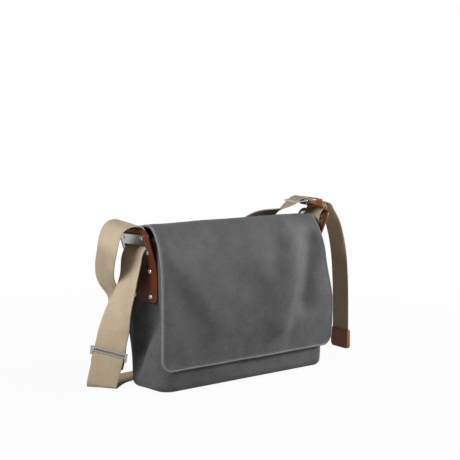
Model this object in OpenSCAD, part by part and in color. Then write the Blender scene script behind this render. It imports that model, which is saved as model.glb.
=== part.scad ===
// Messenger bag: canvas body and flap, leather side panels, steel brackets and sliders, webbing strap.
// Origin: bottom centre of the body. X runs across the bag, the front faces -Y, Z is up. Millimetres.

/* [Body] */
// Width of the body along its base
base_w = 355; // [320:1:400]
// Depth of the body, front to back
body_d = 102; // [96:1:112]
// Height of the seam that joins the flap to the back
back_h = 256; // [250:0.5:262]
// Distance of the back seam behind the middle of the bag
back_y = 34.5; // [32:0.5:38]
// Height at which the back starts to lean in
back_bend_h = 150; // [120:1:180]
// Height of the front panel's top edge
front_h = 249; // [235:1:251]
// Distance of the front panel's top edge before the middle of the bag
mouth_y = 24; // [20:0.5:28]
// Height at which the front starts to lean in
front_bend_h = 195; // [175:1:200]
// Height of the gussets' top edge
gusset_h = 226; // [215:1:232]
// Outward lean of the gussets in degrees
side_tilt = 1.7; // [0.5:0.1:2]
// Thickness of the lined canvas
cloth_t = 3; // [2.4:0.1:3.4]
// Radius of the soft edges along the base
base_r = 14; // [10:0.5:18]
// Depth of the fold in each gusset
crease_depth = 7; // [4:0.5:9]
// Half of the length of the fold in each gusset
crease_half_l = 62; // [50:1:66]

/* [Inside] */
// Thickness of the stiffening board on the base
board_t = 2; // [1.5:0.1:3]
// Length of the stiffening board
board_l = 318; // [280:1:322]
// Thickness of the padded divider
divider_t = 7; // [5:0.5:9]
// Height of the padded divider above the board
divider_h = 205; // [180:1:215]
// Room for a slim computer behind the divider
sleeve_d = 26; // [20:1:28]
// Width of the pocket on the inside of the front
pocket_w = 230; // [180:1:260]
// Height of the pocket on the inside of the front
pocket_h = 120; // [100:1:130]
// Room inside the pocket
pocket_d = 9; // [7:0.5:12]
// Height of the pocket's lower edge
pocket_z = 50; // [40:1:60]
// Thickness of the pocket cloth
pocket_t = 1.5; // [1:0.1:2]
// Thickness of the tape over the front panel's top edge
tape_t = 1; // [0.8:0.1:1.3]
// Height of the tape over the front panel's top edge
tape_h = 12; // [8:0.5:16]

/* [Flap] */
// Width of the flap at its front
flap_w = 390; // [380:1:396]
// Width of the flap at the back seam
flap_seam_w = 364; // [350:1:370]
// Width of the flap at its ridge
flap_ridge_w = 382; // [374:1:390]
// Distance of the ridge fold before the middle of the bag
ridge_y = 16; // [12:0.5:20]
// Height of the ridge fold
ridge_h = 268.5; // [266:0.5:272]
// Distance of the flap's front before the middle of the bag
flap_y = 59; // [58:0.5:64]
// Height at which the flap starts to hang straight
shoulder_h = 205; // [198:1:212]
// Height of the flap's hem
hem_h = 37.6; // [30:0.2:60]
// Radius of the flap's lower corners
flap_corner_r = 20; // [10:1:30]
// Width of the binding along the flap's edge
binding_w = 2.5; // [2:0.1:4]
// Gap in each fold line of the flap
fold_gap = 0.4; // [0.3:0.05:0.6]
// Distance between the two magnetic snaps
snap_span = 210; // [150:1:260]
// Height of the magnetic snaps
snap_z = 78; // [66:1:110]
// Diameter of the magnetic snaps
snap_d = 18; // [14:0.5:22]
// Gap between the halves of a closed snap
snap_gap = 0.5; // [0.3:0.1:0.8]

/* [Leather] */
// Width of the side panels
panel_w = 72; // [68:1:76]
// Height of the side panels' lower edge
panel_low = 146; // [142:1:150]
// Height of the bend in the side panels
panel_bend = 206; // [204:0.5:208]
// Length of the side panels above the bend
panel_up = 62; // [60:0.5:63]
// Thickness of the side panels
leather_t = 3; // [2.5:0.1:3.4]
// Outward lean of the left panel above its bend in degrees
left_lean = 19; // [17:0.5:21]
// Outward lean of the right panel above its bend in degrees
right_lean = 27; // [25:0.5:28]
// How much higher the right panel sits
right_lift = 12; // [10:0.5:13]
// Distance of the dome rivets from the panel's middle
dome_y = 20; // [16:0.5:24]
// Heights of the dome rivets above the panel's lower edge
dome_rows = [9, 50];
// Diameter of the dome rivets
dome_d = 8; // [6:0.5:10]

/* [Brackets] */
// Width of the brackets
bracket_w = 59; // [58:0.5:64]
// Height of the brackets
bracket_h = 34.5; // [32:0.5:36]
// Height of the brackets' cross bar
bar_h = 17.5; // [15:0.5:18]
// Height of the brackets' feet above the bend of the panel
bracket_foot = 20; // [18.5:0.5:21]
// Thickness of the brackets
plate_t = 2.5; // [2:0.1:2.8]
// Thickness of the plates behind the leather
backplate_t = 2; // [1.5:0.1:2.4]
// Width of the window that the strap passes
window_w = 51.4; // [51:0.1:53]
// Width of the window at the brackets' feet
window_foot_w = 41; // [38:0.5:43]
// Diameter of the bracket rivets' heads
head_d = 6.4; // [5:0.2:7]
// Diameter of all rivet shanks
shank_d = 3; // [2.6:0.1:3.4]
// Clearance of a shank in its hole, on the radius
shank_gap = 0.05; // [0.03:0.01:0.1]

/* [Strap] */
// Width of the webbing
strap_w = 50; // [46:0.5:50.5]
// Thickness of the webbing
strap_t = 2; // [1.6:0.1:2.2]
// Length of the sliders across the webbing
slider_l = 61; // [58:0.5:64]
// Spacing of the sliders' bars
bar_pitch = 10.5; // [10:0.1:11]
// Width of the sliders' bars
slider_bar = 2.4; // [2:0.1:2.6]
// Thickness of the sliders
slider_t = 2.2; // [1.8:0.1:2.4]
// Length of the leather keeper along the webbing
keeper_l = 13; // [10:0.5:14]
// Thickness of the keeper, the patch and the strap end leather
trim_t = 2; // [1.6:0.1:2.2]
// Room inside the keeper over its three layers of webbing
keeper_room = 10.4; // [10:0.1:11]
// Length of the leather patch at the sewn strap end
patch_l = 30; // [20:1:32]
// Length of the leather tip on the hanging end
tip_l = 34; // [28:1:40]
// Height of the tip's lower edge
tip_z = 13; // [10:0.5:16]

/* [Hidden] */
$fn = 48;

canvas = "#6a6b6e";
lining = "#8d8a84";
piping = "#8f9194";
leather = "#7a3517";
leather_dark = "#5a2a16";
steel = "#b9bcc0";
webbing = "#c6b08c";

seam_gap = 0.1;
reach = 600;
half_t = cloth_t / 2;
front_mid_y = -(body_d / 2 - half_t);
back_mid_y = body_d / 2 - half_t;
front_top = [-mouth_y, front_h];
back_seam = [back_y, back_h];
ridge = [-ridge_y, ridge_h];
fold_pitch = cloth_t + fold_gap;
flap_back = back_seam + fold_pitch * unit(ridge - back_seam);
flap_turn = [-ridge_y - 14, ridge_h - 2.5];
flap_start = ridge + fold_pitch * unit(flap_turn - ridge);
flap_line = round_path([flap_start, flap_turn, [-flap_y, shoulder_h], [-flap_y, hem_h]], [0, 18, 60, 0], 6);
front_line = round_path([[front_mid_y, base_r + seam_gap], [front_mid_y, front_bend_h], front_top],
    [0, 60, 0], 5);
back_line = round_path([[back_mid_y, base_r + seam_gap], [back_mid_y, back_bend_h], back_seam],
    [0, 120, 0], 5);
base_line = round_path(
    [[front_mid_y, base_r], [front_mid_y, half_t], [back_mid_y, half_t], [back_mid_y, base_r]],
    [0, base_r - half_t - 2, base_r - half_t - 2, 0], 6);
board_w = body_d - 2 * base_r;
divider_y = back_mid_y - half_t - sleeve_d;
crease_r = 24;
crease_mid = [10.5, 80];
crease_turn = 22;
crease_arc = (crease_half_l * crease_half_l + crease_r * crease_r) / (2 * crease_r);
shank_r = shank_d / 2;
hole_r = shank_r + shank_gap;
head_h = 1.2;
burr_h = 1;
bracket_top = bracket_foot + bracket_h;
window_top = bracket_top - bar_h;
window_flare = window_top - 8.6;
slot_h = 10.5;
bar_rivet = [window_w / 2 - 4, bracket_top - bar_h / 3];
foot_rivet = [(bracket_w + window_foot_w) / 4 + 0.9, bracket_foot + 3.7];
tail_turn = 14;
tail_x = 284.5;

// Strap routes: points on the webbing's middle line, each with the direction across the webbing
across = [0, -1, 0];
left_w = [0.68, -0.7, -0.24];
right_w = [-0.42, -0.907, 0];
keeper_w = [-0.28, -0.96, 0];
tail_w = [-sin(tail_turn), -cos(tail_turn), 0];
loop_route = [
    [[-219.5, 40, 66], left_w], [[-213, 42.8, 87.4], [0.37, -0.91, -0.16]],
    [[-205.5, 46.8, 107.8], [0.16, -0.98, -0.09]], [[-197.2, 50.1, 127.9], [0.02, -1, -0.03]],
    [[-194.2, 51, 145.8], [-0.04, -1, -0.03]], [[-204.1, 55.3, 159.7], [0.15, -0.98, -0.14]],
    [[-214.7, 54.7, 173.8], [0.19, -0.93, -0.31]], [[-226.4, 45.9, 191.2], [0.04, -0.91, -0.41]],
    [[-236.9, 31.4, 204.2], [0.02, -0.91, -0.4]], [[-247.9, 14.9, 219.8], [-0.06, -0.96, -0.29]],
    [[-256, 0, 237], [0, -1, -0.1]], [[-251.5, 0, 254.5], [0, -1, -0.1]],
    [[-243.5, 0, 267.5], [0, -1, -0.15]], [[-231, 0, 273.5], [0, -1, -0.17]],
    [[-217, 0, 274.2], [0, -1, -0.15]], [[-206, 0, 270.8], [0, -1, -0.09]],
    [[-200, 0, 263.5], [0, -1, -0.03]], [[-196.6, 0, 254.5], across], [[-193.8, 0, 246.5], across],
    [[-193.6, 0, 240.8], across], [[-195.3, 0, 237], across]];
main_route = [
    [[-195.6, 0, 236.6], across], [[-197.5, 0, 234.3], across], [[-200.6, 0, 231.2], across],
    [[-204.5, 0, 226], across], [[-207.5, 0, 218], across], [[-209.5, 0, 206], across],
    [[-215.2, -2.2, 186.5], [-0.13, -0.99, -0.02]], [[-221.7, 0.5, 162.1], [0.02, -1, -0.08]],
    [[-226.8, 8.8, 137.4], [0.16, -0.97, -0.16]], [[-227.5, 18, 109], [0.26, -0.95, -0.17]],
    [[-228.3, 33.7, 62], left_w], [[-229, 48, 19], left_w],
    [[-229.5, 52, 8.2], [0.62, -0.77, -0.15]], [[-226.5, 56, 2.6], [0.6, -0.8, -0.03]],
    [[-216, 64, 1.5], [0.6, -0.8, 0]], [[-193, 81, 1.5], [0.58, -0.81, 0]],
    [[-162, 96, 1.5], [0.3, -0.95, 0]], [[-125, 100, 2], across],
    [[-90, 96, 9], [-0.23, -0.956, 0.18]], [[-52, 88, 32], [-0.54, -0.73, 0.42]],
    [[-15, 79, 75], [-0.77, -0.38, 0.52]], [[20, 72, 128], [-0.84, -0.18, 0.51]],
    [[52, 67, 181], [-0.85, -0.1, 0.53]], [[80, 61, 223.5], [-0.78, -0.1, 0.62]],
    [[108, 51.5, 251], [-0.665, -0.31, 0.68]], [[131, 38, 263], [-0.68, -0.55, 0.48]],
    [[148, 22, 272], [-0.6, -0.78, 0.15]], [[162.6, 11.4, 284.2], right_w],
    [[172, 7, 292.3], right_w], [[181.4, 2.6, 296.3], right_w], [[188.5, -0.8, 292.8], [-0.38, -0.92, 0]],
    [[194.5, -3.6, 290], [-0.32, -0.94, 0]], [[200.5, -6.2, 288.4], keeper_w],
    [[207, -8.4, 287.5], [-0.22, -0.975, 0]], [[214.5, -9.8, 285.8], [-0.18, -0.98, 0]],
    [[221.3, -10, 283], [-0.15, -0.99, 0]]];
anchor_route = [
    [[183.6, 1.6, 287.4], right_w], [[188.5, -0.8, 286.4], [-0.38, -0.92, 0]],
    [[194.5, -3.6, 284.6], [-0.32, -0.94, 0]], [[200.5, -6.2, 283.2], keeper_w],
    [[205.6, -7.8, 281.9], [-0.22, -0.975, 0]], [[208.9, -7.4, 278.8], [-0.13, -0.99, 0]],
    [[209.2, -5.5, 274.4], [-0.04, -1, 0]], [[207.2, -3, 269.6], across], [[203.8, -1, 263], across],
    [[200.2, 0, 256.7], across], [[198.5, 0, 251.3], across], [[199.6, 0, 247], across],
    [[201.8, 0, 244], across], [[204.4, 0, 241.2], across],
    [[208.4, 0, 240.9], across], [[211.8, 0, 245.2], across], [[214.8, 0, 253.7], across],
    [[218.6, 0, 262.9], across], [[220.6, -3, 270.7], across], [[219, -6, 276.8], [-0.12, -0.99, 0]],
    [[214.3, -8.2, 281.4], [-0.18, -0.98, 0]], [[207.2, -8.4, 284.6], [-0.22, -0.975, 0]],
    [[200.5, -6.2, 285.9], keeper_w], [[194.5, -3.6, 287.4], [-0.32, -0.94, 0]],
    [[188.5, -0.8, 289.7], [-0.38, -0.92, 0]], [[183.6, 1.6, 293.1], right_w], [[179.6, 3.5, 292.9], right_w],
    [[178.2, 4.1, 290.2], right_w], [[179.6, 3.5, 287.6], right_w]];
tail_route = [
    [[222.2, -9.9, 282.6], [-0.15, -0.99, 0]], [[228, -8.6, 279.2], [-0.14, -0.99, 0]],
    [[236, -6, 273], tail_w],
    [[247.5, -4, 262], tail_w], [[259, -2, 246], tail_w], [[269.5, 0, 224], tail_w], [[277, 0, 196], tail_w],
    [[281.5, 0, 160], tail_w], [[283.8, 0, 115], tail_w], [[tail_x, 0, 75], tail_w],
    [[tail_x, 0, tip_z + tip_l], tail_w], [[tail_x, 0, tip_z + trim_t + seam_gap], tail_w]];

left_run = unit(main_route[11][0] - main_route[9][0]);
left_face = unit(cross(left_run, left_w));
left_slider_pos = main_route[10][0];
patch_back = 11;
bar_clear = (strap_t + slider_t) / 2 + 0.7;
slider_tilt = asin(2 * bar_clear / bar_pitch);
right_run = [0.9, -0.42, 0.12];
right_face = unit(cross(right_w, right_run));
right_slider_pos = [172, 7, 289];
keeper_pos = [198.4, -5.4, 286.3];
keeper_run = unit([0.95, -0.277, -0.2]);
keeper_face = unit(cross(keeper_w, keeper_run));

function unit(v) = v / norm(v);
function lerp(a, b, f) = a * (1 - f) + b * f;

// Points of the arc of radius r that rounds the corner b between a and c
function fillet(a, b, c, r, n) =
    let (u = unit(a - b), v = unit(c - b), half = acos(u * v) / 2, o = b + unit(u + v) * r / sin(half),
        p = b + u * r / tan(half) - o, q = b + v * r / tan(half) - o,
        start = atan2(p.y, p.x), turn = atan2(p.x * q.y - p.y * q.x, p * q))
    [for (i = [0:n]) o + r * [cos(start + turn * i / n), sin(start + turn * i / n)]];
function round_path(p, r, n) = concat([p[0]],
    [for (i = [1:len(p) - 2], q = fillet(p[i - 1], p[i], p[i + 1], r[i], n)) q], [p[len(p) - 1]]);

// Half of the body's width at a height, to the gusset's outer face and to its inner one
function outer_half(z) = base_w / 2 + z * tan(side_tilt);
function inner_half(z) = outer_half(z) - (cloth_t + seam_gap) / cos(side_tilt);

// One point of the curve through p1 and p2, and the whole route with n steps between its points
function blend_point(p0, p1, p2, p3, f) =
    (2 * p1 + (p2 - p0) * f + (2 * p0 - 5 * p1 + 4 * p2 - p3) * f * f
        + (3 * p1 - p0 - 3 * p2 + p3) * f * f * f) / 2;
function smooth(r, n) = concat([for (i = [0:len(r) - 2], k = [0:n - 1])
    let (f = k / n, a = r[max(i - 1, 0)], b = r[i], c = r[i + 1], d = r[min(i + 2, len(r) - 1)])
    [blend_point(a[0], b[0], c[0], d[0], f), unit(lerp(b[1], c[1], f))]], [r[len(r) - 1]]);

// Angles that turn X to the direction u and Z to the direction v
function angles(u, v) = [atan2(cross(v, u).z, v.z), -asin(u.z), atan2(u.y, u.x)];

module along_x(l) rotate([90, 0, 90]) linear_extrude(l, center = true) children();
module along_y(l) rotate([90, 0, 0]) linear_extrude(l, center = true) children();
module outward(from, to) translate([from, 0, 0]) rotate([90, 0, 90]) linear_extrude(to - from) children();
module at(p, u, v) translate(p) rotate(angles(u, v)) children();

// A strip of even thickness along a line, with square or rounded ends
module strip(line, t, round_start = false, round_end = false) {
    last = len(line) - 1;
    runs = [for (i = [0:last]) unit(line[min(i + 1, last)] - line[max(i - 1, 0)])];
    polygon(concat([for (i = [0:last]) line[i] + t / 2 * [-runs[i].y, runs[i].x]],
        round_end ? strip_end(line[last], runs[last], t / 2) : [],
        [for (i = [last:-1:0]) line[i] - t / 2 * [-runs[i].y, runs[i].x]],
        round_start ? strip_end(line[0], -runs[0], t / 2) : []));
}
function strip_end(p, d, r) = [for (a = [75:-15:-75]) p + r * (d * cos(a) + [-d.y, d.x] * sin(a))];

// Webbing that follows a route
module ribbon(route, n = 3) {
    r = smooth(route, n);
    last = len(r) - 1;
    rings = [for (i = [0:last]) let (d = unit(r[min(i + 1, last)][0] - r[max(i - 1, 0)][0]),
        face = unit(cross(d, r[i][1])))
        for (c = [[1, 1], [1, -1], [-1, -1], [-1, 1]])
        r[i][0] + r[i][1] * c[0] * strap_w / 2 + face * c[1] * strap_t / 2];
    skin = [for (i = [0:last - 1], k = [0:3]) let (a = 4 * i + k, b = 4 * i + (k + 1) % 4)
        for (f = [[a, b, b + 4], [a, b + 4, a + 4]]) f];
    ends = [[2, 1, 0], [3, 2, 0],
        [4 * last, 4 * last + 1, 4 * last + 2], [4 * last, 4 * last + 2, 4 * last + 3]];
    polyhedron(rings, concat(skin, ends));
}

// The body seen from the front, between the gussets
module between_gussets() along_y(reach)
    polygon([[-inner_half(0), 0], [inner_half(0), 0],
        [inner_half(reach), reach], [-inner_half(reach), reach]]);

module cloth() intersection() {
    along_x(reach) children();
    between_gussets();
}

module front_panel() color(canvas) cloth() strip(front_line, cloth_t);

module back_panel() color(canvas) cloth() strip(back_line, cloth_t, round_end = true);

module base_panel() color(canvas) cloth() strip(base_line, cloth_t);

module base_board() color(leather_dark) translate([0, 0, cloth_t])
    linear_extrude(board_t) square([board_l, board_w], center = true);

module laptop_divider() color(lining) translate([-board_l / 2, divider_y - divider_t, cloth_t + board_t])
    cube([board_l, divider_t, divider_h]);

// An open-topped patch pocket that is sewn to the inside of the front
module inner_pocket() color(lining) translate([-pocket_w / 2, front_mid_y + half_t, pocket_z]) difference() {
    cube([pocket_w, pocket_d + pocket_t, pocket_h]);
    translate([pocket_t, -1, pocket_t])
        cube([pocket_w - 2 * pocket_t, pocket_d + 1, pocket_h]);
}

// Tape folded over the front panel's top edge
module mouth_tape() color(leather_dark) cloth() difference() {
    strip([front_top + lean_in * (tape_t + seam_gap), front_top - lean_in * tape_h], cloth_t + 2 * tape_t);
    strip([front_top + lean_in * seam_gap, front_top - lean_in * 2 * tape_h], cloth_t + 2 * seam_gap);
}
lean_in = unit(front_top - [front_mid_y, front_bend_h]);

module snaps(y, t) for (s = [-1, 1]) translate([s * snap_span / 2, y, snap_z]) rotate([90, 0, 0])
    cylinder(d = snap_d, h = t);

snap_base_t = 2.4;
snap_base_y = front_mid_y - half_t;
flap_inner_y = -flap_y + half_t;
module snap_bases() color(steel) snaps(snap_base_y, snap_base_t);
module snap_caps() color(steel) snaps(snap_base_y - snap_base_t - snap_gap,
    snap_base_y - snap_base_t - snap_gap - flap_inner_y);

// Puts a part made for the right side on either side. X points out of the gusset's outer face.
module on_side(s) mirror([s < 0 ? 1 : 0, 0, 0])
    translate([base_w / 2, 0, 0]) rotate([0, side_tilt, 0]) children();
module above_bend(s) translate([0, 0, panel_bend + (s > 0 ? right_lift : 0)])
    rotate([0, s > 0 ? right_lean : left_lean, 0]) children();

gusset_line = concat(
    fillet([-body_d / 2, front_bend_h], [-body_d / 2, 0], [0, 0], base_r, 6),
    fillet([0, 0], [body_d / 2, 0], [body_d / 2, back_bend_h], base_r, 6),
    [[back_mid_y + half_t, back_bend_h - 10], [lean_at(back_bend_h, back_h, back_mid_y, back_y), gusset_h],
    [-lean_at(front_bend_h, front_h, -front_mid_y, mouth_y), gusset_h],
    [front_mid_y - half_t, front_bend_h - 12]]);
function lean_at(low, high, from, to) = lerp(from, to, (gusset_h - low) / (high - low));

// The soft spindle that presses the fold into a gusset
module crease(grow)
    translate([crease_r - crease_depth, crease_mid.x, crease_mid.y]) rotate([crease_turn, 0, 0])
    rotate_extrude() intersection() {
        translate([crease_r - crease_arc, 0]) circle(crease_arc + grow, $fn = 96);
        translate([0, -reach / 2]) square([reach, reach]);
    }

module dome_places(s) for (y = [-dome_y, dome_y], z = dome_rows)
    translate([0, y, panel_low + (s > 0 ? right_lift : 0) + z]) rotate([0, 90, 0]) children();
module plate_places() for (y = [-1, 1], p = [bar_rivet, foot_rivet])
    translate([0, y * p.x, p.y]) rotate([0, 90, 0]) children();

module gusset(s) color(canvas) on_side(s) difference() {
    union() {
        outward(-cloth_t, 0) polygon(gusset_line);
        intersection() {
            crease(cloth_t);
            translate([-crease_r, -body_d / 2, cloth_t + board_t])
                cube([crease_r - cloth_t / 2, body_d, gusset_h]);
        }
    }
    crease(0);
    dome_places(s) cylinder(r = hole_r, h = 4 * cloth_t, center = true);
}
module left_gusset() gusset(-1);
module right_gusset() gusset(1);

panel_corner_r = 9;
corner_ease = 0.05;

// What is cut away to round the corner p, whose outside lies towards y and z
module corner_cut(p, r, y, z) translate(p) mirror([y < 0 ? 1 : 0, 0]) mirror([0, z < 0 ? 1 : 0])
    polygon(concat([[1, 1], [-r, 1]],
        [for (a = [0:15:90]) [r * sin(a), r * cos(a)] - (r - corner_ease) * [1, 1]], [[1, -r]]));

// Leather panel: flat on the gusset below its bend, leaning outwards above it, with a slot for the strap
module side_panel(s) color(leather) on_side(s) {
    low = panel_low + (s > 0 ? right_lift : 0);
    bend = panel_bend + (s > 0 ? right_lift : 0);
    lean = s > 0 ? right_lean : left_lean;
    top = [0, bend] + panel_up * [sin(lean), cos(lean)];
    difference() {
        along_y(panel_w) polygon([[0, low], [leather_t, low], [leather_t, bend - leather_t * tan(lean / 2)],
            top + leather_t * [cos(lean), -sin(lean)], top, [0, bend]]);
        for (y = [-1, 1]) outward(-leather_t, 2 * leather_t)
            corner_cut([y * panel_w / 2, low], panel_corner_r, y, -1);
        dome_places(s) cylinder(r = hole_r, h = 4 * leather_t, center = true);
        above_bend(s) {
            for (y = [-1, 1]) outward(-leather_t, 2 * leather_t)
                corner_cut([y * panel_w / 2, panel_up], panel_corner_r + 2, y, 1);
            plate_places() cylinder(r = hole_r, h = 4 * leather_t, center = true);
            translate([-1, -window_w / 2, window_top - slot_h]) cube([leather_t + 2, window_w, slot_h]);
        }
    }
}
module left_side_panel() side_panel(-1);
module right_side_panel() side_panel(1);

// Inverted U with a cross bar and two feet, which widen downwards
module bracket_shape() difference() {
    polygon(concat([[-bracket_w / 2, bracket_foot], [bracket_w / 2, bracket_foot]],
        fillet([bracket_w / 2, bracket_foot], [bracket_w / 2, bracket_top], [0, bracket_top], 5, 6),
        fillet([0, bracket_top], [-bracket_w / 2, bracket_top], [-bracket_w / 2, bracket_foot], 5, 6)));
    polygon([[-window_w / 2, window_top], [-window_w / 2, window_flare], [-window_foot_w / 2, bracket_foot],
        [-window_foot_w / 2, 0], [window_foot_w / 2, 0], [window_foot_w / 2, bracket_foot],
        [window_w / 2, window_flare], [window_w / 2, window_top]]);
}
module bracket(s, from, to) color(steel) on_side(s) above_bend(s) difference() {
    outward(from, to) bracket_shape();
    plate_places() cylinder(r = hole_r, h = 8 * leather_t, center = true);
}
module left_bracket() bracket(-1, leather_t, leather_t + plate_t);
module right_bracket() bracket(1, leather_t, leather_t + plate_t);
module left_bracket_backplate() bracket(-1, -backplate_t, 0);
module right_bracket_backplate() bracket(1, -backplate_t, 0);

// A rivet along Z: a crowned head, its shank and a flat burr at the far end
module rivet(d, crown, from, to) rotate_extrude() polygon(concat(
    [[0, from - burr_h], [d * 0.42, from - burr_h], [d * 0.42, from], [shank_r, from], [shank_r, to]],
    [for (a = [0:15:90]) [d / 2 * cos(a), to + crown * sin(a)]]));
module left_bracket_rivets() bracket_rivets(-1);
module right_bracket_rivets() bracket_rivets(1);
module bracket_rivets(s) color(steel) on_side(s) above_bend(s) plate_places()
    rivet(head_d, head_h, -backplate_t, leather_t + plate_t);
module left_panel_rivets() panel_rivets(-1);
module right_panel_rivets() panel_rivets(1);
module panel_rivets(s) color(steel)
    on_side(s) dome_places(s) rivet(dome_d, dome_d * 0.36, -cloth_t, leather_t);

module left_loop_strap() color(webbing) ribbon(loop_route);
module shoulder_strap() color(webbing) ribbon(main_route);
module right_anchor_strap() color(webbing) ribbon(anchor_route);
module strap_tail() color(webbing) ribbon(tail_route);

// The flap seen from above, from the back seam to the ridge, and from the front below the ridge
module flap_plan(edge) linear_extrude(reach) polygon([
    [-flap_seam_w / 2 + edge, back_y + cloth_t], [-flap_ridge_w / 2 + edge, -ridge_y - cloth_t],
    [flap_ridge_w / 2 - edge, -ridge_y - cloth_t], [flap_seam_w / 2 - edge, back_y + cloth_t]]);
module flap_face(edge) along_y(reach) polygon(concat(
    [[-flap_ridge_w / 2 + edge, ridge_h + cloth_t], [-flap_w / 2 + edge, shoulder_h]],
    fillet([-flap_w / 2 + edge, ridge_h], [-flap_w / 2 + edge, hem_h + edge], [0, hem_h + edge],
        flap_corner_r - edge, 8),
    fillet([0, hem_h + edge], [flap_w / 2 - edge, hem_h + edge], [flap_w / 2 - edge, ridge_h],
        flap_corner_r - edge, 8),
    [[flap_w / 2 - edge, shoulder_h], [flap_ridge_w / 2 - edge, ridge_h + cloth_t]]));

module flap_top_section() strip([flap_back, ridge], cloth_t, round_start = true, round_end = true);
module flap_front_section() strip(flap_line, cloth_t, round_start = true);
module flap_top_panel() color(canvas) intersection() {
    along_x(reach) flap_top_section();
    flap_plan(binding_w + seam_gap);
}
module flap_top_binding() color(piping) difference() {
    intersection() {
        along_x(reach) flap_top_section();
        flap_plan(0);
    }
    flap_plan(binding_w);
}
module flap_front_panel() color(canvas) intersection() {
    along_x(reach) flap_front_section();
    flap_face(binding_w + seam_gap);
}
module flap_front_binding() color(piping) difference() {
    intersection() {
        along_x(reach) flap_front_section();
        flap_face(0);
    }
    flap_face(binding_w);
}

// Three-bar slider, flat, with its length along X
module slider() linear_extrude(slider_t, center = true) difference() {
    rounded(slider_l, 2 * bar_pitch + slider_bar, 2);
    for (s = [-1, 1]) translate([0, s * bar_pitch / 2])
        square([window_w + 1, bar_pitch - slider_bar], center = true);
}
module rounded(l, w, r) polygon(concat(
    fillet([-l / 2, 0], [-l / 2, -w / 2], [0, -w / 2], r, 5),
    fillet([0, -w / 2], [l / 2, -w / 2], [l / 2, 0], r, 5),
    fillet([l / 2, 0], [l / 2, w / 2], [0, w / 2], r, 5),
    fillet([0, w / 2], [-l / 2, w / 2], [-l / 2, 0], r, 5)));

// The left slider's upper and middle bars lie before the webbing, and its lower bar behind it
module left_slider() color(steel) at(left_slider_pos + left_face * bar_clear, left_w, left_face)
    rotate([slider_tilt, 0, 0]) slider();
module left_strap_patch() color(leather)
    at(left_slider_pos - left_face * patch_back + left_run * 14, left_w, left_face)
    linear_extrude(trim_t, center = true) rounded(strap_w + 4, patch_l, 4);
module right_slider() color(steel) at(right_slider_pos, right_w, right_face) slider();

// A leather loop round three layers of webbing
module right_keeper() color(leather) at(keeper_pos, keeper_w, keeper_face) rotate([90, 0, 0])
    linear_extrude(keeper_l, center = true) difference() {
        rounded(strap_w + 4 + 2 * trim_t, keeper_room + 2 * trim_t, 4);
        rounded(strap_w + 4, keeper_room, 2);
    }

// Folded leather over the end of the webbing
module tail_tip() color(leather_dark)
    translate([tail_x, 0, tip_z]) rotate([0, 0, 90 - tail_turn]) rotate([90, 0, 0])
    difference() {
        linear_extrude(strap_t + 2 * seam_gap + 2 * trim_t, center = true) polygon(concat(
            fillet([-strap_w / 2 - 2, tip_l], [-strap_w / 2 - 2, 0], [0, 0], 7, 6),
            fillet([0, 0], [strap_w / 2 + 2, 0], [strap_w / 2 + 2, tip_l], 7, 6),
            [[strap_w / 2 + 2, tip_l], [-strap_w / 2 - 2, tip_l]]));
        translate([0, trim_t + tip_l / 2, 0])
            cube([strap_w + 2 * seam_gap, tip_l, strap_t + 2 * seam_gap], center = true);
    }

front_panel();
back_panel();
base_panel();
left_gusset();
right_gusset();
base_board();
laptop_divider();
inner_pocket();
mouth_tape();
snap_bases();
left_side_panel();
right_side_panel();
left_bracket();
right_bracket();
left_bracket_backplate();
right_bracket_backplate();
left_bracket_rivets();
right_bracket_rivets();
left_panel_rivets();
right_panel_rivets();
left_loop_strap();
shoulder_strap();
right_anchor_strap();
flap_top_panel();
flap_top_binding();
flap_front_panel();
flap_front_binding();
snap_caps();
left_slider();
left_strap_patch();
right_slider();
right_keeper();
strap_tail();
tail_tip();
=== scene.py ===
import bpy
import math
from mathutils import Matrix, Vector, noise


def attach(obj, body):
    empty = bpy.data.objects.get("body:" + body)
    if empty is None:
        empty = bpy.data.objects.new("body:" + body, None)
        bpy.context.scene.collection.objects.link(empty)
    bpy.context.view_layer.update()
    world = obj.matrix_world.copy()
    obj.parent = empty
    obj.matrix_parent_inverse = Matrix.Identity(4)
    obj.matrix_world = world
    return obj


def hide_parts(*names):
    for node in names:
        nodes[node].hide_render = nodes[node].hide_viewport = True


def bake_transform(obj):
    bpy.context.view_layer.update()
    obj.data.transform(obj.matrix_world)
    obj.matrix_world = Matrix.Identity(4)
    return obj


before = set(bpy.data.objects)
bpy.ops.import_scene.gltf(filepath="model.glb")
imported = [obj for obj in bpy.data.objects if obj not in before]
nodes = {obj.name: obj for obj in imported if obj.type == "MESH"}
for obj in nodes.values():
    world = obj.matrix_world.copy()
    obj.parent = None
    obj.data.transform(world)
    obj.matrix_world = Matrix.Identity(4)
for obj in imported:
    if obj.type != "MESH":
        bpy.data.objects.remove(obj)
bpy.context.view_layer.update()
mm = 0.001


def pick(*objs):
    bpy.ops.object.select_all(action="DESELECT")
    for obj in objs:
        obj.select_set(True)
    bpy.context.view_layer.objects.active = objs[-1]


def applied(obj, kind, **settings):
    pick(obj)
    mod = obj.modifiers.new(kind.lower(), kind)
    for key, value in settings.items():
        setattr(mod, key, value)
    bpy.ops.object.modifier_apply(modifier=mod.name)
    return obj


def smooth(obj, angle=40):
    pick(obj)
    bpy.ops.object.shade_smooth_by_angle(angle=math.radians(angle))
    return obj


def meshPiece(name, points, faces):
    mesh = bpy.data.meshes.new(name)
    mesh.from_pydata([Vector(p) * mm for p in points], [], faces)
    obj = bpy.data.objects.new(name, mesh)
    bpy.context.scene.collection.objects.link(obj)
    return obj


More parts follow.
